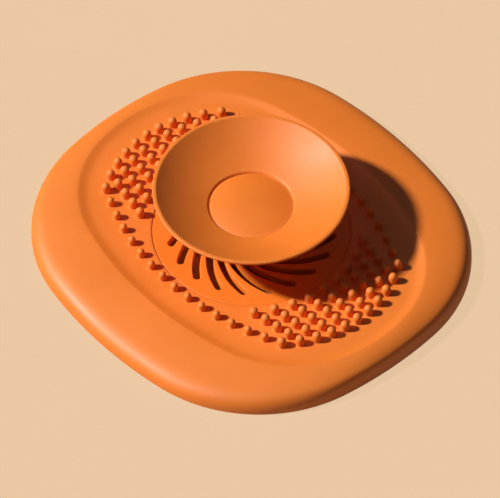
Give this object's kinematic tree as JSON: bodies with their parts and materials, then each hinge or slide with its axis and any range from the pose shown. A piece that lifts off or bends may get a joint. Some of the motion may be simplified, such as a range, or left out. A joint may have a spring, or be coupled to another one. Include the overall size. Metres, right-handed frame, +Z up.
{
  "type": "sink strainer",
  "caption": "Soft square drain mat with an oval pan, crescents of hair-catching pins, a slotted swirl grille and an up-turned cup plug that presses down on a sliding stem.",
  "frame": {"origin": "on the resting plane, under the axis of the plug, at the middle of the mat", "axes": "+Z up along the plug's stem, X along the longer side of the mat from pin crescent to pin crescent, Y across the broad rims"},
  "size_m": [0.16, 0.1486, 0.0309],
  "materials": {
    "silicone": "matte orange silicone",
    "grille_plastic": "matte orange plastic",
    "grommet_rubber": "matte dark orange rubber",
    "clip_steel": "plain spring steel"
  },
  "bodies": {
    "mat": {"mat": "silicone", "hair_pins": "silicone", "grille": "grille_plastic", "stem_grommet": "grommet_rubber"},
    "clip": {"retaining_clip": "clip_steel"},
    "plug": {"plug_stem": "grille_plastic", "plug_cup": "silicone", "plug_button": "silicone"}
  },
  "joints": [
    {"name": "plug_press", "type": "slide", "parent": "mat", "child": "clip", "axis": [0, 0, 1], "range_m": [-0.0094, 0]},
    {"name": "plug_spin", "type": "hinge", "parent": "clip", "child": "plug", "pos_m": [0, 0, 0.01], "axis": [0, 0, 1], "continuous": true}
  ]
}
